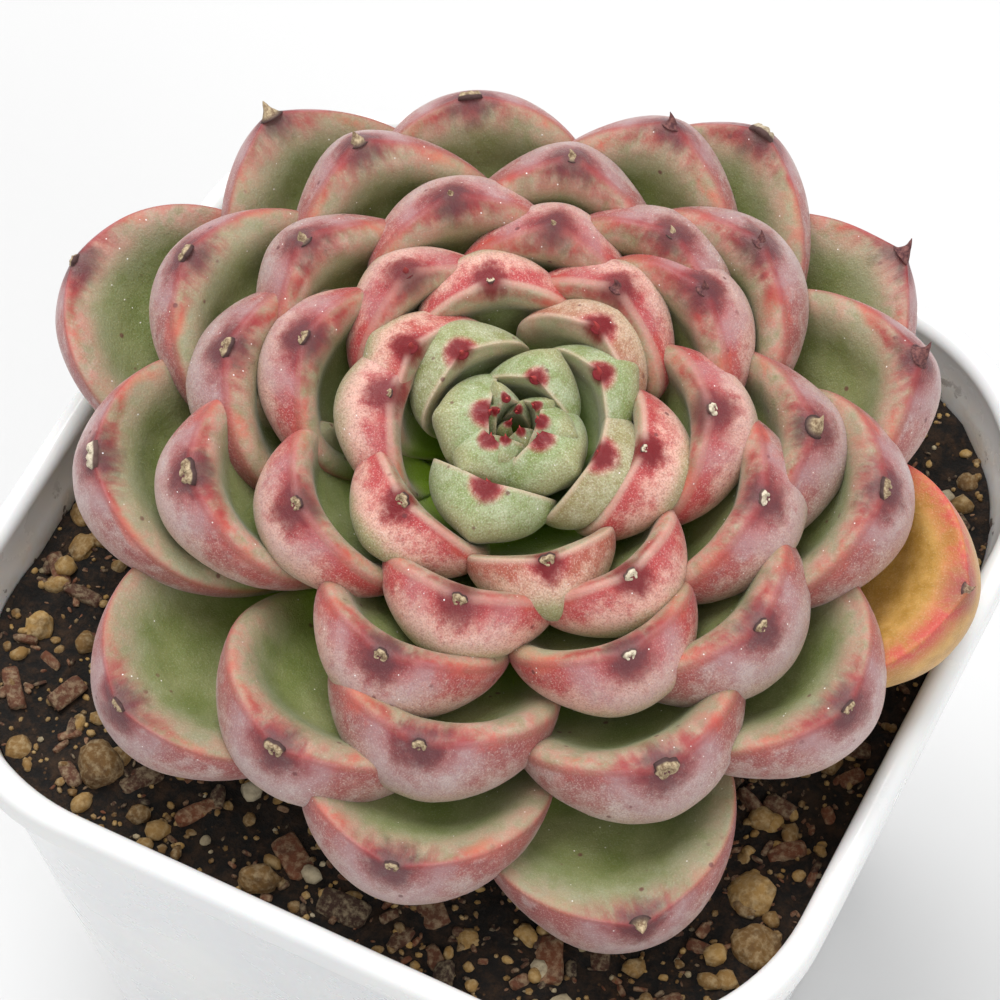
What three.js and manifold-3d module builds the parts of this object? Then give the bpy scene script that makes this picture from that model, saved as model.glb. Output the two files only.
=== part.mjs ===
// A potted rosette succulent: a square nursery pot, its soil, a short stem and the leaves of a rosette.
// Millimetres, +Z up, origin at the centre of the pot's flat underside.
import * as THREE from 'three';
import { mergeVertices } from 'three/addons/utils/BufferGeometryUtils.js';
import Module from 'manifold-3d';

const wasm = await Module();
wasm.setup();
const radians = THREE.MathUtils.degToRad;

// ---- pot: a thin-walled tapered square pot with round corners and a thicker lip ----
const potHeight = 80;
const potTopWidth = 90;
const potBaseWidth = 66;
const potCornerRadius = 22;
const lipThickness = 2.6;
const lipHeight = 4.2;
const wallThickness = 1.4;
const floorThickness = 1.8;
const drainHoleRadius = 3.2;
const drainHoleSpacing = 34;
const potSides = 48;
const drillSides = 16;

// ---- soil ----
const soilDepthBelowRim = 7;
const soilMound = 0.3;
const soilRingShares = [0.97, 0.7, 0.4];
const clearance = 0.3;

// ---- stem and lean of the plant ----
const stemRadius = 6.2;
const stemTipRadius = 0.5;
const stemHeight = 22;
const stemBuried = 9;
const stemKneeHeightShare = 0.45;
const stemKneeRadiusShare = 0.8;
const stemFootRadiusShare = 0.7;
const stemSides = 20;
const plantLean = 11.3;
const leanToward = -63;
const plantX = -1;
const plantY = 6.1;

// ---- rosette: leaf 0 is the youngest, in the middle ----
const youngest = 0;
const oldest = 61;
const goldenAngle = 137.508;
const firstAzimuth = 158.9;
const youngLeaves = 12;
const innermostReach = 1.6;
const reachGrowth = 46.8;
const reachSlowing = 4.4;
const crownHeight = 32.4;
const crownFall = 4.5;
const outerDroop = 8.4;
const droopPace = 6;
const youngRootBelowTip = 1.2;
const oldRootHeight = 5.8;
const rootPace = 0.9;
const leafWidthYoung = 3.4;
const leafWidthGrowth = 21.2;
const leafWidthPace = 0.42;
const leafThicknessYoung = 2.6;
const leafThicknessGrowth = 6;
const leafThicknessPace = 0.42;
const leafAge = 60;

// Where single leaves stand off the ideal spiral: degrees round the stem, and millimetres of reach.
const turned = {
  0: -15, 1: -12, 2: 10, 3: -19, 4: 16, 5: 11, 8: 16, 11: -11, 14: -22, 15: -11, 16: 7, 17: -10, 18: -9,
  19: 14, 20: -8, 22: 16, 23: -7, 24: 7, 27: 17, 30: 15, 37: -6, 38: 12, 39: -6, 40: 7, 43: 11, 46: 6,
  53: 9, 54: -12, 55: -5, 56: -10, 59: -15, 60: -8, 61: 6,
};
const reached = {
  4: -1.5, 5: -3, 6: 2.5, 11: 1.5, 12: 3.5, 17: 4, 18: -3.5, 20: 1.5, 23: 2.5, 25: 4.5, 28: 3, 31: 5.5,
  32: -1.5, 37: -1.5, 39: -2.5, 40: -1.5, 43: 1.5, 48: 2, 50: -2.5, 51: 1.5, 54: 1.5, 56: 2, 57: 1.5,
  59: 2.5, 60: 2.5, 61: -2,
};
// Places on the spiral where a leaf has gone.
const missing = new Set([10, 33, 36, 44, 58]);
// Leaves whose outline runs out to a longer point.
const pointed = new Set([19, 21, 24, 34, 35, 37, 42, 45, 48, 53, 55, 61]);

// ---- shape of one leaf, as shares of its own length, width and thickness ----
const widestAt = 0.7;
const rootWidthShare = 0.2;
const widthGrowth = 1.5;
const depthGrowth = 2.2;
const thickestAt = 0.84;
const rootThicknessShare = 0.26;
const tipRoundnessYoung = 1.7;
const tipRoundnessGrown = 2.1;
const tipRoundnessPointed = 1.7;
const roundedLeaves = 18;
const tipBluntness = 2.5;
const cupShare = 0.19;
const lipShare = 0.2;
const hollowShare = 0.6;
const handleShare = 0.38;
const curlLeast = 8;
const curlMore = 16;
const curlPace = 0.7;
const thornLength = 1.5;
const thornRadius = 0.45;

// ---- facets of a leaf: points around it, and places along it where the skin has a ring ----
const smallLeaves = 20;
const smallLeafAround = 8;
const grownLeafAround = 10;
const smallLeafStops = [0, 0.2, 0.42, 0.64, 0.82, 0.95];
const grownLeafStops = [0, 0.16, 0.34, 0.52, 0.7, 0.85, 0.96];

const white = new THREE.MeshStandardMaterial({ color: 0xf2f3f3, roughness: 0.28, metalness: 0 });
const earth = new THREE.MeshStandardMaterial({ color: 0x2b1d14, roughness: 0.95, metalness: 0 });
const bark = new THREE.MeshStandardMaterial({ color: 0x8a7d55, roughness: 0.8, metalness: 0 });
const youngLeaf = new THREE.MeshStandardMaterial({ color: 0xa9c58f, roughness: 0.5, metalness: 0 });
const grownLeaf = new THREE.MeshStandardMaterial({ color: 0xb9807a, roughness: 0.5, metalness: 0 });

const potCornerShare = potCornerRadius / (potTopWidth / 2);

// Rounded-square outline: half width and corner radius, one point for each direction.
function squareRing(halfWidth, z, sides = potSides) {
  const corner = halfWidth * potCornerShare;
  const straight = halfWidth - corner;
  const points = [];
  for (let k = 0; k < sides; k += 1) {
    const quarter = Math.floor((4 * k) / sides);
    const along = (4 * k) / sides - quarter;
    const angle = (quarter + along) * (Math.PI / 2);
    const middle = (quarter + 0.5) * (Math.PI / 2);
    const x = Math.SQRT2 * straight * Math.cos(middle) + corner * Math.cos(angle);
    const y = Math.SQRT2 * straight * Math.sin(middle) + corner * Math.sin(angle);
    points.push(new THREE.Vector3(x, y, z));
  }
  return points;
}

// Closed skin through rings of equal point counts, with a point at each end.
function loft(start, rings, end) {
  const count = rings[0].length;
  const points = [start, ...rings.flat(), end];
  const position = new Float32Array(points.flatMap((p) => [p.x, p.y, p.z]));
  const index = [];
  const at = (ring, k) => 1 + ring * count + (k % count);
  for (let k = 0; k < count; k += 1) {
    index.push(0, at(0, k + 1), at(0, k));
    for (let ring = 0; ring + 1 < rings.length; ring += 1) {
      index.push(at(ring, k), at(ring, k + 1), at(ring + 1, k + 1));
      index.push(at(ring, k), at(ring + 1, k + 1), at(ring + 1, k));
    }
    index.push(points.length - 1, at(rings.length - 1, k), at(rings.length - 1, k + 1));
  }
  const geometry = new THREE.BufferGeometry();
  geometry.setAttribute('position', new THREE.BufferAttribute(position, 3));
  geometry.setIndex(index);
  return geometry;
}

function toSolid(geometry) {
  const bare = geometry.clone();
  bare.deleteAttribute('normal');
  bare.deleteAttribute('uv');
  const merged = mergeVertices(bare, 1e-4);
  const vertProperties = new Float32Array(merged.attributes.position.array);
  const triVerts = new Uint32Array(merged.index.array);
  return new wasm.Manifold(new wasm.Mesh({ numProp: 3, vertProperties, triVerts }));
}

function toGeometry(solid) {
  const mesh = solid.getMesh();
  const geometry = new THREE.BufferGeometry();
  geometry.setAttribute('position', new THREE.BufferAttribute(new Float32Array(mesh.vertProperties), 3));
  geometry.setIndex([...mesh.triVerts]);
  return geometry;
}

// Outer half width of the pot's wall at a height.
function wallHalfWidth(z) {
  const top = potTopWidth / 2 - (lipThickness - wallThickness);
  return THREE.MathUtils.lerp(potBaseWidth / 2, top, z / potHeight);
}

function potSolid() {
  const lipOuter = potTopWidth / 2;
  const lipInner = lipOuter - lipThickness;
  const round = lipThickness / 3;
  const lipFoot = potHeight - lipHeight;
  const rings = [
    squareRing(wallHalfWidth(0) - round, 0),
    squareRing(wallHalfWidth(round), round),
    squareRing(wallHalfWidth(lipFoot), lipFoot),
    squareRing(lipOuter, lipFoot + round / 2),
    squareRing(lipOuter, potHeight - round),
    squareRing(lipOuter - round, potHeight),
    squareRing(lipInner + round, potHeight),
    squareRing(lipInner, potHeight - round),
    squareRing(wallHalfWidth(lipFoot) - wallThickness, lipFoot),
    squareRing(wallHalfWidth(floorThickness) - wallThickness, floorThickness),
  ];
  const shell = loft(new THREE.Vector3(0, 0, 0), rings, new THREE.Vector3(0, 0, floorThickness));
  let solid = toSolid(shell);
  for (let k = 0; k < 4; k += 1) {
    const drillLength = 3 * floorThickness;
    const drill = new THREE.CylinderGeometry(drainHoleRadius, drainHoleRadius, drillLength, drillSides);
    drill.rotateX(Math.PI / 2);
    const angle = radians(45 + 90 * k);
    const far = drainHoleSpacing / 2;
    drill.translate(far * Math.SQRT2 * Math.cos(angle), far * Math.SQRT2 * Math.sin(angle), 0);
    solid = solid.subtract(toSolid(drill));
  }
  return solid;
}

// Straight run of the stem from below the soil to the growing tip, in the plant's own frame.
function stemGeometry(extra) {
  const profile = [
    new THREE.Vector2(0, -stemBuried - extra),
    new THREE.Vector2(stemRadius * stemFootRadiusShare + extra, -stemBuried - extra),
    new THREE.Vector2(stemRadius + extra, 0),
    new THREE.Vector2(stemRadius * stemKneeRadiusShare + extra, stemHeight * stemKneeHeightShare),
    new THREE.Vector2(stemTipRadius + extra, stemHeight),
    new THREE.Vector2(0, stemHeight + extra),
  ];
  const geometry = new THREE.LatheGeometry(profile, stemSides);
  geometry.rotateX(Math.PI / 2);
  return geometry;
}

function stemRadiusAt(height) {
  const knee = stemHeight * stemKneeHeightShare;
  const kneeRadius = stemRadius * stemKneeRadiusShare;
  if (height < knee) {
    return THREE.MathUtils.lerp(stemRadius, kneeRadius, height / knee);
  }
  return THREE.MathUtils.lerp(kneeRadius, stemTipRadius, (height - knee) / (stemHeight - knee));
}

const plant = new THREE.Group();
plant.position.set(plantX, plantY, potHeight - soilDepthBelowRim);
const leanAxis = new THREE.Vector3(-Math.sin(radians(leanToward)), Math.cos(radians(leanToward)), 0);
plant.quaternion.setFromAxisAngle(leanAxis, radians(plantLean));
plant.updateMatrixWorld(true);

// Soil block with a socket for the stem, and a dent under each leaf that reaches down to it.
function soilGeometry(leafRooms) {
  const top = potHeight - soilDepthBelowRim;
  const inside = (z) => wallHalfWidth(z) - wallThickness - clearance;
  const bottom = floorThickness + clearance;
  const mound = soilRingShares.map((share) => {
    const rise = soilMound * (1 - share * share);
    return squareRing(inside(top) * share, top + rise);
  });
  const wall = [squareRing(inside(bottom), bottom), squareRing(inside(top), top - clearance)];
  const rings = [...wall, ...mound];
  const block = loft(new THREE.Vector3(0, 0, bottom), rings, new THREE.Vector3(0, 0, top + soilMound));
  const socket = stemGeometry(clearance);
  socket.applyMatrix4(plant.matrixWorld);
  let solid = toSolid(block).subtract(toSolid(socket));
  for (const room of leafRooms) {
    solid = solid.subtract(room.transform(plant.matrixWorld.elements));
  }
  return toGeometry(solid);
}

// Fullness from 0 at the tip to 1 at the fullest place and a given share at the root.
function fullness(along, fullestAt, rootShare, growth, exponent) {
  if (along < fullestAt) {
    const grown = Math.sin((along / fullestAt) * (Math.PI / 2)) ** growth;
    return rootShare + (1 - rootShare) * grown;
  }
  const beyond = (along - fullestAt) / (1 - fullestAt);
  return Math.max(0, 1 - beyond ** exponent) ** (1 / exponent);
}

// Curve of leaf n from the stem to its tip, in its own frame: it grows out along +X and curls up.
function midribOf(n) {
  const age = n / leafAge;
  const ripe = Math.min(1, age);
  const reach = innermostReach + reachGrowth * age - reachSlowing * age * age + (reached[n] ?? 0);
  const height = crownHeight - crownFall * age - outerDroop * age ** droopPace;
  const youngRootHeight = stemHeight - youngRootBelowTip;
  const rootHeight = THREE.MathUtils.lerp(youngRootHeight, oldRootHeight, ripe ** rootPace);
  const root = new THREE.Vector3(stemRadiusAt(rootHeight) + 2 * clearance, 0, rootHeight);
  const tip = new THREE.Vector3(reach, 0, height);
  const rise = Math.atan2(tip.z - root.z, tip.x - root.x);
  const curl = radians(curlLeast + curlMore * Math.sin(Math.PI * ripe ** curlPace));
  const handle = root.distanceTo(tip) * handleShare;
  const aim = (angle) => new THREE.Vector3(handle * Math.cos(angle), 0, handle * Math.sin(angle));
  const nearRoot = root.clone().add(aim(rise - curl));
  const nearTip = tip.clone().sub(aim(rise + curl));
  return new THREE.CubicBezierCurve3(root, nearRoot, nearTip, tip);
}

function tipRoundnessOf(n) {
  if (pointed.has(n)) {
    return tipRoundnessPointed;
  }
  return THREE.MathUtils.lerp(tipRoundnessYoung, tipRoundnessGrown, Math.min(1, n / roundedLeaves));
}

// Skin of leaf n in its own frame, its hollow face towards the stem and a small thorn at its tip.
// It can stand a little outside the leaf, to cut room for it in an older one.
function leafGeometry(n, extra = 0) {
  const age = n / leafAge;
  const midrib = midribOf(n);
  const width = leafWidthYoung + leafWidthGrowth * age ** leafWidthPace;
  const thickness = leafThicknessYoung + leafThicknessGrowth * age ** leafThicknessPace;
  const roundness = tipRoundnessOf(n);
  const around = n < smallLeaves ? smallLeafAround : grownLeafAround;
  const stops = n < smallLeaves ? smallLeafStops : grownLeafStops;
  const ringAt = (along, pointAt) => {
    const centre = midrib.getPoint(along);
    const ahead = midrib.getTangent(along);
    const inward = new THREE.Vector3(-ahead.z, 0, ahead.x);
    return Array.from({ length: around }, (_, k) => {
      const angle = (k / around) * 2 * Math.PI;
      const [sideways, lift] = pointAt(Math.cos(angle), Math.sin(angle));
      return centre.clone().addScaledVector(inward, lift).add(new THREE.Vector3(0, sideways, 0));
    });
  };
  const rings = stops.map((along) => {
    const broad = fullness(along, widestAt, rootWidthShare, widthGrowth, roundness);
    const deep = fullness(along, thickestAt, rootThicknessShare, depthGrowth, tipBluntness);
    const halfWidth = (width / 2) * broad + extra;
    const depth = thickness * deep + extra;
    const lip = lipShare * thickness * deep + extra;
    return ringAt(along, (across, side) => {
      const cup = cupShare * halfWidth * across * across * Math.min(1, along / widestAt);
      const face = lip * (1 - hollowShare * side * side) * Math.min(1, 2 * side);
      return [halfWidth * across, cup + (side > 0 ? face : depth * side)];
    });
  });
  const thornFoot = thornRadius + extra;
  rings.push(ringAt(1, (across, side) => [thornFoot * across, thornFoot * side]));
  const before = midrib.getPoint(0).addScaledVector(midrib.getTangent(0), -clearance / 2 - extra);
  const beyond = midrib.getPoint(1).addScaledVector(midrib.getTangent(1), thornLength + extra);
  return loft(before, rings, beyond);
}

function azimuthOf(n) {
  return radians(firstAzimuth - goldenAngle * n + (turned[n] ?? 0));
}

const object = new THREE.Group();

function addMesh(parent, name, geometry, material) {
  const mesh = new THREE.Mesh(geometry, material);
  mesh.name = name;
  parent.add(mesh);
  return mesh;
}

const pot = potSolid();
addMesh(object, 'pot', toGeometry(pot), white);
object.add(plant);
addMesh(plant, 'stem', stemGeometry(0), bark);

// Each leaf presses its back into the face of the older leaves under it, which keep a dent of it.
// A leaf that comes down on the pot's rim keeps a dent of the rim.
const rim = pot.add(pot.translate([0, 0, clearance])).transform(plant.matrixWorld.clone().invert().elements);
const rooms = [];
for (let n = youngest; n <= oldest; n += 1) {
  if (!missing.has(n)) {
    const turn = azimuthOf(n);
    const degrees = THREE.MathUtils.radToDeg(turn);
    let solid = toSolid(leafGeometry(n)).rotate([0, 0, degrees]).subtract(rim);
    for (const room of rooms) {
      solid = solid.subtract(room);
    }
    rooms.push(toSolid(leafGeometry(n, clearance)).rotate([0, 0, degrees]));
    const whole = solid.decompose().sort((a, b) => b.volume() - a.volume())[0];
    const name = `leaf_${String(n).padStart(2, '0')}`;
    const flesh = n < youngLeaves ? youngLeaf : grownLeaf;
    const leaf = addMesh(plant, name, toGeometry(whole.rotate([0, 0, -degrees])), flesh);
    leaf.rotation.z = turn;
  }
}
addMesh(object, 'soil', soilGeometry(rooms), earth);

export default object;
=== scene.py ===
"""A potted rosette succulent: fine leaves, stem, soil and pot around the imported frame."""
import math

import bpy
import numpy as np
from mathutils import Matrix, Vector, noise


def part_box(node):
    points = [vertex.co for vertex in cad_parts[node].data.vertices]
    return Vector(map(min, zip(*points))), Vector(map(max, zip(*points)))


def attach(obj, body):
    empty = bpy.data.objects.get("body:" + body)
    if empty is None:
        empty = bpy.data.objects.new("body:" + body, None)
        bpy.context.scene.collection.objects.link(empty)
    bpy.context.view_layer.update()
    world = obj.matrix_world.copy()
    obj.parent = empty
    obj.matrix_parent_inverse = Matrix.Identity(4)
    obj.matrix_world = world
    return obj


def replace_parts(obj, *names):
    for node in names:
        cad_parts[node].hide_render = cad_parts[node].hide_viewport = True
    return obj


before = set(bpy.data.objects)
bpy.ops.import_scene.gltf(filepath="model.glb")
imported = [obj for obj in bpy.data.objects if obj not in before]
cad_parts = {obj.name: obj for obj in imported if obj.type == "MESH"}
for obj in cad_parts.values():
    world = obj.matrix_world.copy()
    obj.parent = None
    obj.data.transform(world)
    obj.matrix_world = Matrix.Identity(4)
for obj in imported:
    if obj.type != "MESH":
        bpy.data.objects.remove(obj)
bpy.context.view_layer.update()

MM = 0.001
rng = np.random.default_rng(7)

# ---- growth laws of the rosette, in millimetres and shares, as the frame was designed with ----
LEAF_AGE = 60
LEAF_WIDTH = (3.4, 21.2)
LEAF_THICKNESS = (2.6, 6.0)
GROWTH_PACE = 0.42
YOUNG_ROOT_BELOW_TIP = 1.2
OLD_ROOT_HEIGHT = 5.8
ROOT_PACE = 0.9
ROOT_SUNK = 0.6
CURL_DEGREES = (8, 16)
CURL_PACE = 0.7
STEM_KNEE_HEIGHT = 0.45
STEM_KNEE_RADIUS = 0.8
STEM_TOP_RADIUS = 0.5
WIDEST_AT = 0.7
THICKEST_AT = 0.84
ROOT_WIDTH_SHARE = 0.2
ROOT_THICKNESS_SHARE = 0.26
WIDTH_GROWTH = 1.5
DEPTH_GROWTH = 2.2
TIP_ROUNDNESS = (1.4, 2.1)
ROUNDED_LEAVES = 18
POINTED = {19, 21, 24, 34, 35, 37, 42, 45, 48, 53, 55, 61}
POINTED_ROUNDNESS = 1.7
TIP_BLUNTNESS = 2.5
CUP_SHARE = 0.19
HANDLE_SHARE = 0.38
THORN_LENGTH = 1.5
TIP_STEEPNESS = (80, 52)

# ---- the tiny leaves in the heart of the rosette, from the oldest to the youngest ----
HEART_LEAVES = 6
HEART_WIDTH = (4.6, 2.2)
HEART_REACH = (2.5, 0.5)
HEART_BELOW_LEAF_0 = 0.3
HEART_DEPTH = 1.6
HEART_THICKNESS_SHARE = 0.55
HEART_THORN = 0.4

# ---- fine shape of a leaf ----
RINGS_BELOW = 26
RINGS_TIP = 30
POINTS_AROUND = 76
LIP_SHARE = 0.21
LIP_WIDTH = (1.2, 2.1)
HOLLOW = (0.6, 0.04)
BELLY_SQUARENESS = 0.74

# ---- dry tips: kind, tone (0 red, 1 purple-brown, 2 tan, 3 cream) and size ----
TIPS = {
    0: ("thorn", 0, 0.6), 1: ("thorn", 0, 0.55), 3: ("thorn", 0, 0.8), 5: ("thorn", 0, 0.6),
    6: ("thorn", 0, 1.0),
    8: ("thorn", 0, 0.9), 11: ("thorn", 0, 1.0), 13: ("thorn", 0.3, 1.0), 21: ("thorn", 0.4, 1.0),
    19: ("thorn", 1, 1.0), 27: ("thorn", 1, 1.0), 40: ("thorn", 1, 1.1), 45: ("thorn", 1, 1.2),
    48: ("thorn", 1, 1.6), 61: ("thorn", 1, 1.6), 24: ("thorn", 2, 0.8), 29: ("thorn", 2, 0.85),
    32: ("thorn", 2, 0.9), 34: ("thorn", 2, 1.1), 35: ("thorn", 2, 1.5), 37: ("thorn", 2, 1.0),
    42: ("thorn", 2, 1.3), 55: ("thorn", 2, 1.6), 56: ("thorn", 1.6, 1.0), 59: ("thorn", 2, 1.3),
    31: ("scar", 2.2, 1.45), 39: ("scar", 2.1, 1.15), 46: ("scar", 2.2, 1.45), 47: ("scar", 2, 1.2),
    49: ("scar", 2.1, 1.2), 43: ("scar", 2.1, 1.15), 52: ("scar", 3, 1.5), 53: ("scar", 2.6, 1.5),
    50: ("scar", 1.8, 1.2), 22: ("scar", 3, 0.8), 30: ("scar", 3, 0.85), 17: ("scar", 3, 0.8),
    25: ("scar", 3, 0.75), 16: ("scar", 2.6, 0.5), 14: ("scar", 2.8, 0.5), 18: ("scar", 2.2, 0.5),
    2: ("bare", 0, 0.5), 4: ("bare", 0, 0.5), 7: ("bare", 0, 0.5), 9: ("bare", 0, 0.5),
}
COMMON_TIP = ("scar", 2.2, 0.85)
YELLOWING = {56: 1.0}
BLUSH = {59: 0.3, 57: 0.45, 54: 0.7, 50: 0.6, 55: 0.6, 51: 0.7, 47: 0.6, 52: 0.6, 48: 0.7}


def srgb(red, green, blue):
    """Linear colour of an sRGB colour given as 0 to 255."""
    channels = []
    for value in (red, green, blue):
        share = value / 255
        channels.append(share / 12.92 if share <= 0.04045 else ((share + 0.055) / 1.055) ** 2.4)
    return (*channels, 1.0)


# ---------------------------------------------------------------- shader helpers
class Shader:
    """Builds one node material with short calls."""

    def __init__(self, name):
        self.material = bpy.data.materials.new(name)
        self.material.use_nodes = True
        self.tree = self.material.node_tree
        self.tree.nodes.clear()
        self.output = self.tree.nodes.new("ShaderNodeOutputMaterial")
        self.surface = self.tree.nodes.new("ShaderNodeBsdfPrincipled")
        self.tree.links.new(self.surface.outputs[0], self.output.inputs["Surface"])

    def put(self, socket, value):
        if hasattr(value, "is_output"):
            self.tree.links.new(value, socket)
        elif value is not None:
            socket.default_value = value

    def attribute(self, name, vector=False):
        node = self.tree.nodes.new("ShaderNodeAttribute")
        node.attribute_name = name
        return node.outputs["Vector" if vector else "Fac"]

    def math(self, operation, first, second=None, third=None):
        node = self.tree.nodes.new("ShaderNodeMath")
        node.operation = operation
        for socket, value in zip(node.inputs, (first, second, third)):
            self.put(socket, value)
        return node.outputs[0]

    def times(self, *values):
        result = values[0]
        for value in values[1:]:
            result = self.math("MULTIPLY", result, value)
        return result

    def smooth(self, value, low, high, start=0.0, end=1.0):
        node = self.tree.nodes.new("ShaderNodeMapRange")
        node.interpolation_type = "SMOOTHSTEP"
        keys = ("Value", "From Min", "From Max", "To Min", "To Max")
        for key, part in zip(keys, (value, low, high, start, end)):
            self.put(node.inputs[key], part)
        return node.outputs[0]

    def fade(self, value, low, high):
        return self.smooth(value, low, high, 1.0, 0.0)

    def bell(self, value, centre, width):
        away = self.math("ABSOLUTE", self.math("SUBTRACT", value, centre))
        return self.fade(away, 0.0, width)

    def mix(self, factor, first, second):
        node = self.tree.nodes.new("ShaderNodeMix")
        node.data_type = "RGBA"
        self.put(node.inputs[0], factor)
        self.put(node.inputs[6], first)
        self.put(node.inputs[7], second)
        return node.outputs[2]

    def stretch(self, vector, scale, shift=(0, 0, 0)):
        node = self.tree.nodes.new("ShaderNodeMapping")
        self.put(node.inputs["Vector"], vector)
        node.inputs["Scale"].default_value = scale
        self.put(node.inputs["Location"], shift)
        return node.outputs[0]

    def noise(self, vector, scale, detail=3.0, roughness=0.5, distortion=0.0):
        node = self.tree.nodes.new("ShaderNodeTexNoise")
        self.put(node.inputs["Vector"], vector)
        node.inputs["Scale"].default_value = scale
        node.inputs["Detail"].default_value = detail
        node.inputs["Roughness"].default_value = roughness
        node.inputs["Distortion"].default_value = distortion
        return node.outputs["Fac"]

    def cells(self, vector, scale, randomness=1.0):
        node = self.tree.nodes.new("ShaderNodeTexVoronoi")
        self.put(node.inputs["Vector"], vector)
        node.inputs["Scale"].default_value = scale
        node.inputs["Randomness"].default_value = randomness
        return node.outputs["Distance"]

    def bump(self, height, strength, distance, below=None):
        node = self.tree.nodes.new("ShaderNodeBump")
        self.put(node.inputs["Height"], height)
        node.inputs["Strength"].default_value = strength
        node.inputs["Distance"].default_value = distance
        self.put(node.inputs["Normal"], below)
        return node.outputs[0]

    def set(self, **values):
        for key, value in values.items():
            self.put(self.surface.inputs[key.replace("_", " ")], value)
        return self.material


def make_object(name, points, faces, material, attributes=None, smooth=True):
    """A mesh object from points in metres, with named float or vector attributes on its points."""
    mesh = bpy.data.meshes.new(name)
    mesh.from_pydata([tuple(p) for p in points], [], [tuple(int(i) for i in f) for f in faces])
    mesh.update()
    for key, values in (attributes or {}).items():
        values = np.asarray(values, dtype=np.float32)
        kind = "FLOAT_VECTOR" if values.ndim == 2 else "FLOAT"
        layer = mesh.attributes.new(key, kind, "POINT")
        layer.data.foreach_set("vector" if values.ndim == 2 else "value", values.ravel())
    if smooth:
        mesh.polygons.foreach_set("use_smooth", [True] * len(mesh.polygons))
    piece = bpy.data.objects.new(name, mesh)
    bpy.context.scene.collection.objects.link(piece)
    mesh.materials.append(material)
    return piece


def loft_faces(ring_count, around, start, end):
    """Faces of a closed skin: a start point, rings of points, an end point."""
    def at(ring, k):
        return 1 + ring * around + k % around
    faces = []
    for k in range(around):
        faces.append((start, at(0, k + 1), at(0, k)))
        for ring in range(ring_count - 1):
            faces.append((at(ring, k), at(ring, k + 1), at(ring + 1, k + 1), at(ring + 1, k)))
        faces.append((end, at(ring_count - 1, k), at(ring_count - 1, k + 1)))
    return faces


# ---------------------------------------------------------------- the plant's own frame, from the stem
def node_points(node):
    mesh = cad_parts[node].data
    points = np.empty(len(mesh.vertices) * 3, np.float32)
    mesh.vertices.foreach_get("co", points)
    return points.reshape(-1, 3).astype(float)


stem_points = node_points("stem")
unique_points = np.unique(np.round(stem_points, 6), axis=0)
axis_guess = np.linalg.svd(unique_points - unique_points.mean(0), full_matrices=False)[2]
up_share = [abs(a[2]) for a in axis_guess]
PLANT_UP = axis_guess[int(np.argmax(up_share))]
PLANT_UP = PLANT_UP * np.sign(PLANT_UP[2])
along_stem = unique_points @ PLANT_UP
off_axis = unique_points - np.outer(along_stem, PLANT_UP)
axis_point = off_axis[along_stem < along_stem.min() + 0.2 * MM].mean(0)
from_axis = np.linalg.norm(off_axis - axis_point, axis=1)
widest = from_axis > from_axis.max() - 0.05 * MM
STEM_RADIUS = from_axis.max() / MM
ground = along_stem[widest].mean()
STEM_HEIGHT = (along_stem.max() - ground) / MM
STEM_BURIED = (ground - along_stem.min()) / MM
PLANT_ORIGIN = axis_point + ground * PLANT_UP
lean_side = np.cross(PLANT_UP, (0.0, 0.0, 1.0))
lean_angle = math.acos(PLANT_UP[2])
PLANT = Matrix.Rotation(-lean_angle, 3, Vector(lean_side))
PLANT = np.array(PLANT)


def to_world(points_mm):
    """Points in the plant's frame, in millimetres, to the row frame in metres."""
    return np.asarray(points_mm) * MM @ PLANT.T + PLANT_ORIGIN


def to_plant(points):
    return ((np.asarray(points) - PLANT_ORIGIN) @ PLANT) / MM


def stem_radius_at(height):
    knee = STEM_HEIGHT * STEM_KNEE_HEIGHT
    radii = (STEM_RADIUS, STEM_RADIUS * STEM_KNEE_RADIUS, STEM_TOP_RADIUS)
    return float(np.interp(height, (0, knee, STEM_HEIGHT), radii))


# ---------------------------------------------------------------- one leaf
def fullness(along, fullest_at, root_share, growth, exponent):
    swell = np.sin(np.clip(along / fullest_at, 0, 1) * math.pi / 2) ** growth
    below = root_share + (1 - root_share) * swell
    beyond = np.clip((along - fullest_at) / (1 - fullest_at), 0, 1)
    above = np.maximum(0, 1 - beyond ** exponent) ** (1 / exponent)
    return np.where(along < fullest_at, below, above)


def bezier(points, t):
    t = np.asarray(t)[:, None]
    a, b, c, d = points
    place = (1 - t) ** 3 * a + 3 * (1 - t) ** 2 * t * b + 3 * (1 - t) * t ** 2 * c + t ** 3 * d
    ahead = 3 * (1 - t) ** 2 * (b - a) + 6 * (1 - t) * t * (c - b) + 3 * t ** 2 * (d - c)
    return place, ahead / np.linalg.norm(ahead, axis=1)[:, None]


def smoothstep(value, low, high):
    share = np.clip((value - low) / (high - low), 0, 1)
    return share * share * (3 - 2 * share)


def lumps(points, size, seed):
    """Smooth random values of -1 to 1 at points, with features of a size."""
    offset = Vector((seed * 7.31, seed * 3.17, seed * 5.77))
    return np.array([noise.noise(Vector(p) / size + offset) for p in points])


def find_tip(node, age):
    """Middle of the foot of the thorn: its point reaches furthest out and up."""
    points = np.unique(np.round(to_plant(node_points(node)), 3), axis=0)
    middle = points.mean(0)
    outward = np.array([middle[0], middle[1], 0.0])
    outward = outward / np.linalg.norm(outward)
    steep = math.radians(TIP_STEEPNESS[0] - TIP_STEEPNESS[1] * min(1, age))
    reach = points @ (outward * math.cos(steep) + np.array([0, 0, math.sin(steep)]))
    thorn = points[np.argmax(reach)]
    away = np.linalg.norm(points - thorn, axis=1)
    foot = points[(away > 0.5) & (away < THORN_LENGTH + 0.2)]
    return foot.mean(0)


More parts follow.
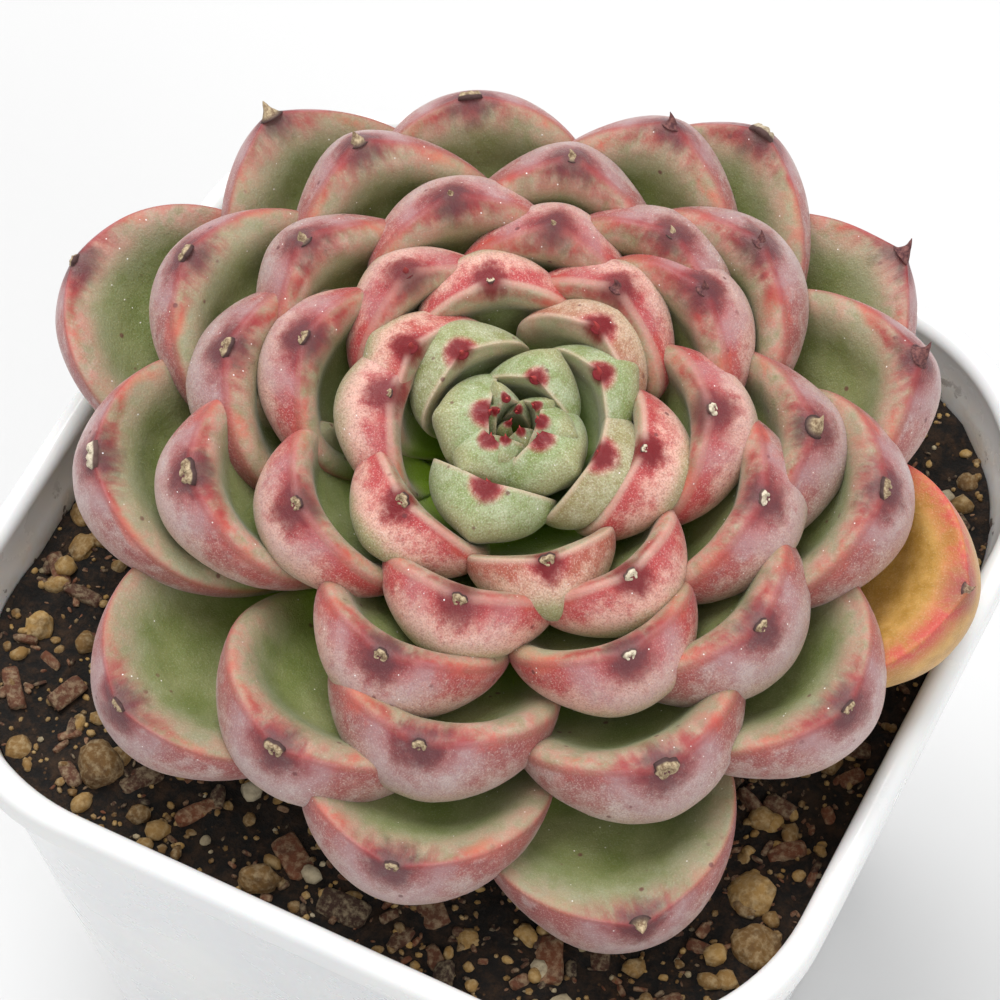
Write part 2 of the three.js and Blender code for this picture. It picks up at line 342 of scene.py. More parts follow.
class Leaf:
    """Measures of leaf n, from its tip and the growth laws."""

    def __init__(self, n, tip):
        self.n = n
        self.age = self.n / LEAF_AGE
        grown = self.age ** GROWTH_PACE
        self.width = LEAF_WIDTH[0] + LEAF_WIDTH[1] * grown
        self.thickness = LEAF_THICKNESS[0] + LEAF_THICKNESS[1] * grown
        self.size = self.width / 20
        rounded = min(1, self.n / ROUNDED_LEAVES)
        self.roundness = TIP_ROUNDNESS[0] + (TIP_ROUNDNESS[1] - TIP_ROUNDNESS[0]) * rounded
        if self.n in POINTED:
            self.roundness = POINTED_ROUNDNESS
        self.tip_kind, self.tip_tone, self.tip_size = TIPS.get(self.n, COMMON_TIP)
        self.azimuth = math.atan2(tip[1], tip[0])
        self.tip = np.array([math.hypot(tip[0], tip[1]), 0.0, tip[2]])
        young_root = STEM_HEIGHT - YOUNG_ROOT_BELOW_TIP
        root_height = young_root + (OLD_ROOT_HEIGHT - young_root) * min(1, self.age) ** ROOT_PACE
        self.root = np.array([stem_radius_at(root_height) - ROOT_SUNK, 0.0, root_height])
        bow = math.sin(math.pi * min(1, self.age) ** CURL_PACE)
        self.curl = math.radians(CURL_DEGREES[0] + CURL_DEGREES[1] * bow)

    def midrib(self):
        across = self.tip - self.root
        length = np.linalg.norm(across)
        rise = math.atan2(across[2], across[0])
        handle = length * HANDLE_SHARE

        def aim(angle):
            return handle * np.array([math.cos(angle), 0, math.sin(angle)])
        near_root = self.root + aim(rise - self.curl)
        near_tip = self.tip - aim(rise + self.curl)
        return (self.root, near_root, near_tip, self.tip), length


class HeartLeaf(Leaf):
    """One of the tiny leaves inside leaf 0, the k-th on from it."""

    def __init__(self, k, first, turn):
        share = (k - 1) / (HEART_LEAVES - 1)
        azimuth = first.azimuth - k * turn
        reach = HEART_REACH[0] + (HEART_REACH[1] - HEART_REACH[0]) * share
        height = first.tip[2] - HEART_BELOW_LEAF_0 - HEART_DEPTH * share
        super().__init__(0, np.array([reach * math.cos(azimuth), reach * math.sin(azimuth), height]))
        self.n = -k
        self.width = HEART_WIDTH[0] + (HEART_WIDTH[1] - HEART_WIDTH[0]) * share
        self.thickness = HEART_THICKNESS_SHARE * self.width
        self.size = self.width / 20
        self.tip_size = HEART_THORN
        self.root = np.array([0.2, 0.0, STEM_HEIGHT + 0.5])


def distance_to_outline(s, x, outline_s, outline_x):
    """Distance of points of the leaf laid flat from its outline."""
    far = np.full(s.shape, 1e9)
    for a in range(len(outline_s) - 1):
        start = np.array([outline_s[a], outline_x[a]])
        step = np.array([outline_s[a + 1], outline_x[a + 1]]) - start
        rel = np.stack([s - start[0], np.abs(x) - start[1]], axis=-1)
        part = np.clip((rel @ step) / (step @ step), 0, 1)
        far = np.minimum(far, np.linalg.norm(rel - part[..., None] * step, axis=-1))
    return far


def leaf_skin(leaf):
    """Points, faces and surface attributes of one fine leaf, in the plant's frame."""
    below = np.linspace(0, WIDEST_AT, RINGS_BELOW, endpoint=False)
    turn = np.linspace(0, math.pi / 2, RINGS_TIP + 1)[:-1]
    tip_part = WIDEST_AT + (1 - WIDEST_AT) * np.sin(turn) ** (2 / leaf.roundness)
    along = np.concatenate([below, tip_part])
    curve, length = leaf.midrib()
    centre, ahead = bezier(curve, along)
    inward = np.stack([-ahead[:, 2], np.zeros(len(along)), ahead[:, 0]], axis=1)
    half = leaf.width / 2 * fullness(along, WIDEST_AT, ROOT_WIDTH_SHARE, WIDTH_GROWTH, leaf.roundness)
    depth = leaf.thickness * fullness(along, THICKEST_AT, ROOT_THICKNESS_SHARE, DEPTH_GROWTH, TIP_BLUNTNESS)
    angle = np.linspace(0, 2 * math.pi, POINTS_AROUND, endpoint=False)
    across = np.sign(np.cos(angle)) * np.abs(np.cos(angle)) ** 0.92
    side = np.sin(angle)
    x = half[:, None] * across[None, :]
    s = np.repeat((along * length)[:, None], POINTS_AROUND, axis=1)
    far = distance_to_outline(s, x, np.append(along, 1.0) * length, np.append(half, 0.0))
    upper = side >= 0
    size = leaf.size
    tipward = smoothstep(along, 0.5, 0.92)[:, None]
    rounding = (LIP_WIDTH[0] + (LIP_WIDTH[1] - LIP_WIDTH[0]) * tipward) * size
    plump = (0.3 + 0.7 * smoothstep(leaf.n, 6, 20)) * (1 - 0.5 * smoothstep(leaf.n, 44, 56))
    lip = plump * LIP_SHARE * leaf.thickness * smoothstep(along, 0.0, 0.6)[:, None]
    rise = lip * np.sqrt(1 - (1 - np.clip(far / rounding, 0, 1)) ** 2)
    dish = HOLLOW[0] * lip + HOLLOW[1] * leaf.width * (0.35 + 0.65 * plump)
    hollow = dish * smoothstep(far, 0.8 * rounding, 3.1 * rounding)
    keel_share = 0.1 * (1 - smoothstep(leaf.n, 10, 18))
    keel = 0.92 + keel_share * np.exp(-(across / 0.22) ** 2)[None, :]
    back_drop = -depth[:, None] * np.abs(side[None, :]) ** BELLY_SQUARENESS * keel
    cup = CUP_SHARE * half[:, None] * across[None, :] ** 2 * np.minimum(1, along / WIDEST_AT)[:, None]
    lift = cup + np.where(upper[None, :], rise - hollow, back_drop)
    points = centre[:, None, :] + inward[:, None, :] * lift[..., None]
    points[..., 1] += x
    edge = np.where(upper[None, :], far, np.hypot(far, back_drop))
    face = np.repeat(np.where(upper, 1.0, -1.0)[None, :], len(along), axis=0)
    skin = np.concatenate([leaf.root[None, :], points.reshape(-1, 3), leaf.tip[None, :]])
    edge = np.concatenate([[leaf.width], edge.ravel(), [0.0]])
    face = np.concatenate([[0.0], face.ravel(), [0.0]])
    along_all = np.concatenate([[0.0], np.repeat(along, POINTS_AROUND), [1.0]])
    flat = np.concatenate([[[0, 0, 0]], np.stack([s, x, lift], axis=-1).reshape(-1, 3), [[length, 0, 0]]])
    # a small point at the tip
    thorny = leaf.tip_kind == "thorn"
    to_tip = np.linalg.norm(skin - leaf.tip, axis=1)
    cusp, spread = (0.75, 1.5) if thorny else (0.3, 1.4)
    cusp = cusp * (0.6 if leaf.n < 12 else 1.0)
    push = cusp * np.exp(-(to_tip / (spread * max(size, 0.5))) ** 1.4)
    skin = skin + push[:, None] * ahead[-1][None, :]
    # slow unevenness of the flesh
    swell = lumps(flat, 7.0, leaf.n) * 0.3 * size + lumps(flat, 2.6, leaf.n + 70) * 0.07 * size
    swell = swell * smoothstep(along_all, 0.2, 0.5)
    out = np.where(face >= 0, 1.0, -1.0)
    out_direction = np.concatenate([[ahead[0]], np.repeat(inward, POINTS_AROUND, axis=0), [ahead[-1]]])
    skin = skin + (swell * out * smoothstep(edge, 0.0, 1.5))[:, None] * out_direction
    faces = loft_faces(len(along), POINTS_AROUND, 0, len(skin) - 1)
    to_tip = np.linalg.norm(skin - skin[-1], axis=1)
    flat = flat + np.array([leaf.n * 37.0, leaf.n * 11.0, 0.0])
    values = {"edge": edge, "face": face * smoothstep(edge, 0.0, 0.5), "along": along_all, "tip": to_tip,
              "flat": flat, "sideways": np.concatenate([[0], np.abs(x).ravel(), [0]]), "belly": edge / size,
              "near": to_tip / max(0.3, 1.1 * min(size, 0.95))}
    return skin, faces, values, ahead[-1], inward[-1]


def turned(points, azimuth):
    c, s = math.cos(azimuth), math.sin(azimuth)
    return np.asarray(points) @ np.array([[c, s, 0], [-s, c, 0], [0, 0, 1]])


# ---------------------------------------------------------------- materials
def leaf_material():
    sh = Shader("leaf_flesh")
    edge = sh.attribute("edge")
    face = sh.attribute("face")
    along = sh.attribute("along")
    tip = sh.attribute("tip")
    flat = sh.attribute("flat", vector=True)
    sideways = sh.attribute("sideways")
    age = sh.attribute("age")
    blush = sh.attribute("blush")
    yellow = sh.attribute("yellow")
    belly = sh.attribute("belly")
    near = sh.attribute("near")
    signed = sh.times(edge, face)
    patches = sh.noise(flat, 0.16, 4, 0.55)
    clouds = sh.noise(flat, 0.5, 4, 0.62)
    bloom_clouds = sh.noise(flat, 0.32, 5, 0.68)
    streaks = sh.noise(sh.stretch(flat, (0.4, 1.2, 1.0)), 0.7, 4, 0.62)
    fibres = sh.noise(sh.stretch(flat, (0.7, 1.25, 1.0)), 2.4, 4, 0.7)
    grains = sh.noise(flat, 6.0, 2, 0.65)
    bends = sh.noise(flat, 0.22, 1, 0.4)
    ripple = sh.times(sh.math("SUBTRACT", clouds, 0.5), 3.0)
    belly = sh.math("ADD", belly, ripple)
    young = sh.fade(age, 0.11, 0.24)
    mature = sh.smooth(age, 0.22, 0.45)
    middling = sh.fade(age, 0.32, 0.62)
    upper = sh.smooth(face, -0.4, 0.4)
    tipward = sh.smooth(along, 0.45, 0.82)
    # upper face: olive green, brownish pink along the lip, and yellow-green low down, brightened beyond the
    # leaf's own colour as a painted glow of light through the flesh in the shaded gaps
    green = sh.mix(sh.smooth(patches, 0.3, 0.7), srgb(104, 118, 58), srgb(134, 140, 92))
    green = sh.mix(young, green, srgb(140, 156, 100))
    # painted glow: the leaf's own yellow-green foot, made brighter to stand for light shining through the
    # flesh in the shaded gaps
    green = sh.mix(sh.fade(along, 0.34, 0.72), green, srgb(150, 188, 40))
    film = sh.times(sh.fade(edge, 1.2, 6.5), sh.smooth(bloom_clouds, 0.36, 0.62, 0.2, 0.6), tipward)
    green = sh.mix(film, green, srgb(154, 154, 134))
    pink = sh.mix(sh.smooth(bloom_clouds, 0.36, 0.7), srgb(194, 166, 150), srgb(182, 106, 94))
    pink = sh.mix(sh.smooth(patches, 0.44, 0.76), pink, srgb(166, 166, 132))
    flush = sh.times(sh.fade(edge, 1.0, 4.4), tipward, sh.smooth(clouds, 0.3, 0.6, 0.3, 1.0), blush)
    face_colour = sh.mix(sh.times(flush, sh.smooth(age, 0.04, 0.25, 0.2, 0.9)), green, pink)
    # back: crimson near the edge, paler further down, yellow-green at the foot, brightened beyond the
    # leaf's own colour as a painted glow of light through the flesh in the shaded gaps
    rich = sh.mix(middling, srgb(160, 92, 90), srgb(186, 68, 70))
    pale = sh.mix(middling, srgb(184, 154, 146), srgb(226, 176, 160))
    drift = sh.math("ADD", sh.math("SUBTRACT", sh.times(streaks, 9.0), 4.6), belly)
    back = sh.mix(sh.smooth(drift, 0.4, 4.6), rich, pale)
    back = sh.mix(sh.times(sh.smooth(fibres, 0.5, 0.7), 0.45), back, srgb(146, 80, 78))
    low = sh.mix(sh.smooth(patches, 0.35, 0.65), srgb(192, 172, 152), srgb(164, 160, 108))
    back = sh.mix(sh.times(sh.smooth(belly, 4.2, 7.4), 0.85), back, low)
    back = sh.mix(sh.smooth(belly, 7.2, 11.0), back, srgb(142, 156, 76))
    waxy = sh.times(sh.smooth(bloom_clouds, 0.48, 0.66), 0.5, sh.fade(middling, 0.2, 1.0))
    back = sh.mix(waxy, back, srgb(200, 184, 178))
    mint = sh.mix(sh.smooth(clouds, 0.3, 0.7), srgb(134, 152, 92), srgb(172, 184, 146))
    back = sh.mix(sh.times(young, sh.smooth(near, 1.8, 3.4)), back, mint)
    half_young = sh.times(sh.fade(age, 0.24, 0.46), sh.smooth(belly, 3.6, 7.4), 0.9)
    back = sh.mix(half_young, back, srgb(160, 162, 116))
    # painted glow: the yellow-green foot of the back, made brighter to stand for light shining through the
    # flesh in the shaded gaps
    back = sh.mix(sh.fade(along, 0.42, 0.7), back, srgb(132, 160, 54))
    colour = sh.mix(upper, back, face_colour)
    # fine stipple
    dust = sh.mix(upper, (1, 1, 1, 1), (0.3, 0.3, 0.3, 1))
    colour = sh.mix(sh.times(sh.fade(grains, 0.34, 0.52), 0.36, dust), colour, srgb(118, 62, 52))
    colour = sh.mix(sh.times(sh.smooth(grains, 0.52, 0.7), 0.38, dust), colour, srgb(230, 218, 206))
    # broken red streak on the edge itself, strongest at either side of the tip
    line_place = sh.times(sh.math("SUBTRACT", bends, 0.42), 4.0)
    away = sh.math("ABSOLUTE", sh.math("SUBTRACT", signed, line_place))
    line = sh.times(sh.fade(away, 0.0, 1.1), sh.smooth(bloom_clouds, 0.32, 0.66), tipward)
    line = sh.times(line, sh.smooth(tip, 0.8, 2.0), sh.fade(tip, 6.0, 12.5), sh.smooth(age, 0.12, 0.3))
    orange = sh.smooth(tip, 3.5, 9.0)
    red = sh.mix(orange, srgb(148, 24, 34), srgb(206, 92, 68))
    colour = sh.mix(sh.times(line, sh.smooth(blush, 0.0, 0.7), 0.85), colour, red)
    near_edge = sh.fade(sh.math("ABSOLUTE", signed), 0.4, 3.0)
    glow = sh.times(near_edge, tipward, sh.smooth(clouds, 0.47, 0.64), sh.smooth(age, 0.14, 0.3))
    colour = sh.mix(sh.times(glow, blush, 0.35), colour, srgb(192, 84, 74))
    flank = sh.times(sh.fade(sh.math("ABSOLUTE", signed), 0.6, 3.6), sh.fade(tip, 2.2, 7.5), mature)
    colour = sh.mix(sh.times(flank, sh.smooth(streaks, 0.34, 0.66), 0.75), colour, srgb(146, 38, 46))
    # crimson wedge under young tips, duller on middling ones
    reach = sh.math("ADD", near, sh.times(sideways, 0.4))
    reach = sh.math("ADD", reach, sh.times(sh.math("SUBTRACT", streaks, 0.5), 3.4))
    wedge = sh.times(sh.fade(reach, 1.4, 3.8), sh.fade(age, 0.22, 0.6))
    colour = sh.mix(sh.times(wedge, 0.98), colour, srgb(112, 4, 16))
    # bruised purple-grey round an older tip, with pale bloom beyond
    ragged = sh.math("ADD", tip, sh.times(sh.math("SUBTRACT", clouds, 0.5), 3.6))
    colour = sh.mix(sh.times(sh.fade(ragged, 0.8, 3.9), mature, 0.85), colour, srgb(86, 44, 50))
    bloom = sh.times(sh.bell(ragged, 4.5, 2.4), mature, sh.fade(upper, 0.3, 1.0), 0.4)
    colour = sh.mix(bloom, colour, srgb(182, 166, 168))
    # pale, slightly clear edge on a young leaf, red on an old one
    rim_colour = sh.mix(mature, srgb(220, 190, 172), srgb(158, 52, 54))
    colour = sh.mix(sh.times(sh.fade(edge, 0.0, 0.5), sh.smooth(tip, 0.6, 1.6), 0.4), colour, rim_colour)
    # blemishes and white sparks
    spots = sh.times(sh.fade(sh.cells(flat, 0.4), 0.06, 0.13), sh.smooth(patches, 0.46, 0.56), 0.75)
    colour = sh.mix(spots, colour, srgb(100, 48, 50))
    sparks = sh.times(sh.fade(sh.cells(flat, 0.9), 0.05, 0.08), sh.smooth(clouds, 0.47, 0.55), 0.85)
    colour = sh.mix(sparks, colour, srgb(248, 246, 242))
    # yellowing leaf
    warm = sh.mix(sh.smooth(clouds, 0.3, 0.7), srgb(176, 130, 46), srgb(206, 160, 84))
    rim = sh.times(sh.fade(edge, 0.3, 3.0), sh.smooth(clouds, 0.36, 0.6, 0.35, 1.0))
    warm = sh.mix(rim, warm, srgb(196, 78, 66))
    warm = sh.mix(sh.times(sh.fade(tip, 1.0, 4.0), 0.5), warm, srgb(120, 50, 60))
    warm = sh.mix(sh.times(sh.smooth(grains, 0.5, 0.7), 0.18), warm, srgb(232, 206, 170))
    colour = sh.mix(sh.times(yellow, 0.9), colour, warm)
    normal = sh.bump(grains, 0.4, 0.00014)
    normal = sh.bump(fibres, 0.3, 0.00025, normal)
    normal = sh.bump(clouds, 0.25, 0.0006, normal)
    rough = sh.smooth(clouds, 0.2, 0.8, 0.4, 0.56)
    material = sh.set(Base_Color=colour, Roughness=rough, Normal=normal, Subsurface_Weight=0.14)
    sh.surface.inputs["Subsurface Radius"].default_value = (1.0, 0.6, 0.3)
    sh.surface.inputs["Subsurface Scale"].default_value = 0.0016
    sh.surface.inputs["Specular IOR Level"].default_value = 0.42
    sh.surface.inputs["Sheen Weight"].default_value = 0.14
    sh.surface.inputs["Sheen Roughness"].default_value = 0.35
    return material


def scar_material():
    sh = Shader("dry_tip")
    where = sh.attribute("grow", vector=True)
    up = sh.attribute("rise")
    tone = sh.attribute("tone")
    grain = sh.noise(where, 2.4, 4, 0.7)
    red = sh.mix(sh.smooth(up, 0.1, 0.9), srgb(120, 14, 26), srgb(176, 62, 60))
    purple = sh.mix(sh.smooth(grain, 0.35, 0.7), srgb(70, 30, 36), srgb(132, 84, 78))
    tan = sh.mix(sh.smooth(grain, 0.35, 0.66), srgb(118, 94, 68), srgb(194, 174, 140))
    cream = sh.mix(sh.smooth(grain, 0.3, 0.6), srgb(150, 136, 112), srgb(220, 208, 184))
    dry = sh.mix(sh.fade(up, 0.0, 0.3), tan, srgb(70, 46, 44))
    pale = sh.mix(sh.fade(up, 0.0, 0.3), cream, srgb(92, 68, 62))
    colour = sh.mix(sh.smooth(tone, 0.2, 0.8), red, purple)
    colour = sh.mix(sh.smooth(tone, 1.3, 1.8), colour, dry)
    colour = sh.mix(sh.smooth(tone, 2.3, 2.9), colour, pale)
    return sh.set(Base_Color=colour, Roughness=0.75, Normal=sh.bump(grain, 0.6, 0.0002))


LEAF_FLESH = leaf_material()
DRY_TIP = scar_material()


# ---------------------------------------------------------------- leaves and their dry tips
def spine(leaf, tip, ahead, inward, seed):
    """A short curved thorn that flares at its foot."""
    length = 1.15 * leaf.tip_size
    radius = (0.34 if leaf.tip_tone < 1 else 0.42) * leaf.tip_size
    sway = 0.45 * math.sin(seed * 2.4) * leaf.tip_size
    around = 16
    stops = np.linspace(0, 1, 14)
    side = np.array([0.0, 1.0, 0.0])
    rings, values = [], []
    for t in stops:
        here = tip + ahead * (length * t - 0.5) + inward * (0.3 * t * t) + side * (sway * t * t)
        waver = 1 + 0.07 * math.sin(11 * t + seed)
        r = radius * ((1 - t) ** 0.9 + 0.9 * math.exp(-t / 0.16)) * waver + 0.04
        for k in range(around):
            a = 2 * math.pi * k / around
            rings.append(here + r * (math.cos(a) * side + math.sin(a) * inward))
            values.append(t)
    end = tip + ahead * (length - 0.45) + inward * 0.3 + side * sway
    start = tip - ahead * 0.7
    points = np.array([start, *rings, end])
    return points, loft_faces(len(stops), around, 0, len(points) - 1), np.array([0.0, *values, 1.0])


def scar(leaf, tip, ahead, inward, seed):
    """A crusty round stub with a raised rim and a pit."""
    out = ahead * 0.85 - inward * 0.5
    out = out / np.linalg.norm(out)
    side = np.array([0.0, 1.0, 0.0])
    up = np.cross(out, side)
    radius = 0.62 * leaf.tip_size
    profile = [(1.25, -0.5), (1.2, -0.1), (1.06, 0.16), (0.92, 0.42), (0.74, 0.5), (0.54, 0.42),
               (0.34, 0.2), (0.16, 0.26)]
    around = 26
    rings, values = [], []
    for r, h in profile:
        for k in range(around):
            a = 2 * math.pi * k / around
            crust = 1 + 0.13 * math.sin(3 * a + seed) + 0.07 * math.sin(7 * a + 2 * seed)
            tall = h + 0.1 * math.sin(5 * a + seed * 1.7 + r * 3) * min(1, max(0, h + 0.2) * 2)
            spot = tip + side * (math.cos(a) * r * radius * crust * 1.15)
            rings.append(spot + up * (math.sin(a) * r * radius * crust) + out * (tall * radius - 0.12))
            values.append(min(1.0, max(0.0, h * 2.2)))
    points = np.array([tip - out * 0.6, *rings, tip + out * 0.04])
    return points, loft_faces(len(profile), around, 0, len(points) - 1), np.array([0.0, *values, 0.5])


def leaf_piece(leaf, name):
    """The mesh object of a leaf and its dry tip, riding on the plant."""
    skin, faces, values, ahead, inward = leaf_skin(leaf)
    count = len(skin)
    values["age"] = np.full(count, leaf.age)
    values["blush"] = np.full(count, BLUSH.get(leaf.n, 0.85 + 0.15 * math.sin(leaf.n * 1.9)))
    values["yellow"] = np.full(count, YELLOWING.get(leaf.n, 0.0))
    make_tip = scar if leaf.tip_kind == "scar" else spine
    extra, extra_faces, rise = make_tip(leaf, skin[-1], ahead, inward, leaf.n)
    points = to_world(turned(np.concatenate([skin, extra]), leaf.azimuth))
    more = len(extra)
    full = {key: np.concatenate([v, np.zeros((more, *v.shape[1:]))]) for key, v in values.items()}
    full["rise"] = np.concatenate([np.zeros(count), rise])
    full["tone"] = np.full(count + more, leaf.tip_tone)
    full["grow"] = np.concatenate([np.zeros((count, 3)), extra + leaf.n * 9.0])
    every = list(faces) + [tuple(i + count for i in f) for f in extra_faces]
    piece = make_object(name, points, every, LEAF_FLESH, full)
    piece.data.materials.append(DRY_TIP)
    for polygon in piece.data.polygons[len(faces):]:
        polygon.material_index = 1
    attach(piece, "root")
    return piece


def build_leaf(node):
    n = int(node.split("_")[1])
    leaf = Leaf(n, find_tip(node, n / LEAF_AGE))
    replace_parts(leaf_piece(leaf, f"{node}_skin"), node)
    return leaf


leaf_nodes = sorted(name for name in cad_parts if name.startswith("leaf_"))
leaves = [build_leaf(name) for name in leaf_nodes]
for k in range(1, HEART_LEAVES + 1):
    leaf_piece(HeartLeaf(k, leaves[0], leaves[1].azimuth - leaves[0].azimuth), f"heart_leaf_{k}")


# ---------------------------------------------------------------- pot
pot_low, pot_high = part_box("pot")
POT_HEIGHT = (pot_high.z - pot_low.z) / MM
HALF_TOP = (pot_high.x - pot_low.x) / 2 / MM
pot_points = node_points("pot") / MM
HALF_BASE = np.abs(pot_points[pot_points[:, 2] < 1.0][:, 0]).max()
LIP = 2.6
LIP_HEIGHT = 4.2
WALL = 1.4
FLOOR_THICKNESS = 1.8
CORNER_SHARE = 22 / 45
DRAIN_PLACE = 17
DRAIN_RADIUS = 3.2
SOIL_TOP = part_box("soil")[1].z / MM


def square_ring(half, count):
    """Points of a rounded square, spread evenly along its outline."""
    corner = half * CORNER_SHARE
    straight = half - corner
    fine = []
    for k in range(4):
        for a in np.linspace(0, math.pi / 2, 24, endpoint=False):
            turn = k * math.pi / 2 + a
            middle = k * math.pi / 2 + math.pi / 4
            cx = math.copysign(straight, math.cos(middle))
            cy = math.copysign(straight, math.sin(middle))
            fine.append((cx + corner * math.cos(turn), cy + corner * math.sin(turn)))
        last = (k + 1) * math.pi / 2
        cx = math.copysign(straight, math.cos(k * math.pi / 2 + math.pi / 4))
        cy = math.copysign(straight, math.sin(k * math.pi / 2 + math.pi / 4))
        fine.append((cx + corner * math.cos(last), cy + corner * math.sin(last)))
    fine = np.array(fine)
    closed = np.vstack([fine, fine[:1]])
    run = np.concatenate([[0], np.cumsum(np.linalg.norm(np.diff(closed, axis=0), axis=1))])
    want = np.linspace(0, run[-1], count, endpoint=False)
    return np.stack([np.interp(want, run, closed[:, 0]), np.interp(want, run, closed[:, 1])], axis=1)


def wall_half(z):
    top = HALF_TOP - (LIP - WALL)
    return HALF_BASE + (top - HALF_BASE) * z / POT_HEIGHT


def arc(centre, radius, start, end, steps):
    return [(centre[0] + radius * math.cos(a), centre[1] + radius * math.sin(a))
            for a in np.linspace(start, end, steps)]


def pot_material():
    sh = Shader("white_plastic")
    inside = sh.attribute("inside")
    height = sh.attribute("height")
    where = sh.tree.nodes.new("ShaderNodeTexCoord").outputs["Object"]
    soft = sh.noise(where, 60, 3, 0.5)
    dirt = sh.noise(where, 420, 5, 0.65)
    grime = sh.noise(where, 130, 5, 0.6)
    colour = sh.mix(sh.smooth(soft, 0.3, 0.7), srgb(232, 233, 232), srgb(225, 227, 229))
    line = sh.fade(height, SOIL_TOP - 0.5, SOIL_TOP + 4.5)
    stain = sh.times(inside, line, sh.smooth(grime, 0.4, 0.62))
    colour = sh.mix(sh.times(stain, 0.55), colour, srgb(206, 184, 150))
    crumbs = sh.times(inside, line, sh.smooth(dirt, 0.6, 0.66))
    colour = sh.mix(sh.times(crumbs, 0.85), colour, srgb(72, 48, 34))
    rough = sh.smooth(grime, 0.3, 0.7, 0.2, 0.3)
    normal = sh.bump(soft, 0.08, 0.0004)
    material = sh.set(Base_Color=colour, Roughness=rough, Normal=normal, Subsurface_Weight=0.08)
    sh.surface.inputs["Subsurface Scale"].default_value = 0.0015
    sh.surface.inputs["Coat Weight"].default_value = 0.15
    sh.surface.inputs["Coat Roughness"].default_value = 0.1
    return material


def build_pot():
    around = 240
    lip_out = HALF_TOP
    lip_in = lip_out - LIP
    r = LIP / 2
    foot = POT_HEIGHT - LIP_HEIGHT
    outer_under = wall_half(foot)
    inner_under = wall_half(foot) - WALL
    profile = [(HALF_BASE - 6, 0.0), (HALF_BASE - 1.6, 0.0)]
    profile += arc((wall_half(1.2) - 1.3, 1.2), 1.2, -math.pi / 2 + 0.2, 0, 6)
    profile += [(wall_half(z), z) for z in np.linspace(3, foot - 0.8, 14)]
    profile += arc((outer_under + 0.6, foot - 0.2), 0.6, math.pi, math.pi / 2, 5)
    profile += arc((lip_out - 0.7, foot + 0.9), 0.7, -math.pi / 2, 0, 6)
    profile += arc((lip_out - r, POT_HEIGHT - r), r, 0, math.pi, 15)
    profile += [(lip_in + 0.05, foot + 1.0), (inner_under, foot - 0.6)]
    profile += [(wall_half(z) - WALL, z) for z in np.linspace(foot - 3, FLOOR_THICKNESS + 1, 10)]
    profile += [(wall_half(0) - WALL - 1.2, FLOOR_THICKNESS)]
    lip_end = 2 + 6 + 14 + 5 + 6 + 9
    rings, inside, height = [], [], []
    for i, (half, z) in enumerate(profile):
        ring = square_ring(half, around)
        rings.append(np.column_stack([ring, np.full(around, z)]))
        inside += [1.0 if i > lip_end else 0.0] * around
        height += [z] * around
    points = np.vstack([[[0, 0, 0]], *rings, [[0, 0, FLOOR_THICKNESS]]])
    faces = loft_faces(len(profile), around, 0, len(points) - 1)
    values = {"inside": np.array([0, *inside, 1]), "height": np.array([0, *height, FLOOR_THICKNESS])}
    piece = make_object("pot_skin", points * MM, faces, pot_material(), values)
    for k in range(4):
        drill_drain(piece, k)
    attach(piece, "root")
    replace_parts(piece, "pot")


def drill_drain(piece, k):
    """Cuts drain hole k through the pot's floor."""
    angle = math.radians(45 + 90 * k)
    far = DRAIN_PLACE * math.sqrt(2) * MM
    bpy.ops.mesh.primitive_cylinder_add(vertices=48, radius=DRAIN_RADIUS * MM, depth=12 * MM,
                                        location=(far * math.cos(angle), far * math.sin(angle), 0))
    drill = bpy.context.active_object
    cut = piece.modifiers.new("drain", "BOOLEAN")
    cut.operation = "DIFFERENCE"
    cut.solver = "EXACT"
    cut.object = drill
    evaluated = piece.evaluated_get(bpy.context.evaluated_depsgraph_get())
    fresh = bpy.data.meshes.new_from_object(evaluated)
    piece.modifiers.clear()
    piece.data = fresh
    bpy.data.objects.remove(drill)


build_pot()


# ---------------------------------------------------------------- stem
def stem_material():
    sh = Shader("stem_bark")
    where = sh.tree.nodes.new("ShaderNodeTexCoord").outputs["Object"]
    bands = sh.noise(sh.stretch(where, (1, 1, 3)), 500, 4, 0.6)
    colour = sh.mix(sh.smooth(bands, 0.35, 0.65), srgb(92, 78, 48), srgb(142, 136, 88))
    return sh.set(Base_Color=colour, Roughness=0.8, Normal=sh.bump(bands, 0.6, 0.0004))


def build_stem():
    around = 48
    heights = np.linspace(-STEM_BURIED, STEM_HEIGHT - 0.2, 46)
    rings = []
    for z in heights:
        radius = stem_radius_at(max(z, 0)) * (1 if z > 0 else 1 + 0.3 * z / STEM_BURIED)
        radius = radius * (1 + 0.035 * math.sin(z * 3.1))
        angles = np.linspace(0, 2 * math.pi, around, endpoint=False)
        knobs = radius * (1 + 0.04 * np.sin(5 * angles + z * 1.7))
        rings.append(np.column_stack([knobs * np.cos(angles), knobs * np.sin(angles), np.full(around, z)]))
    points = np.vstack([[[0, 0, -STEM_BURIED]], *rings, [[0, 0, STEM_HEIGHT]]])
    faces = loft_faces(len(heights), around, 0, len(points) - 1)
    piece = make_object("stem_skin", to_world(points), faces, stem_material())
    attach(piece, "root")
    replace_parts(piece, "stem")


build_stem()


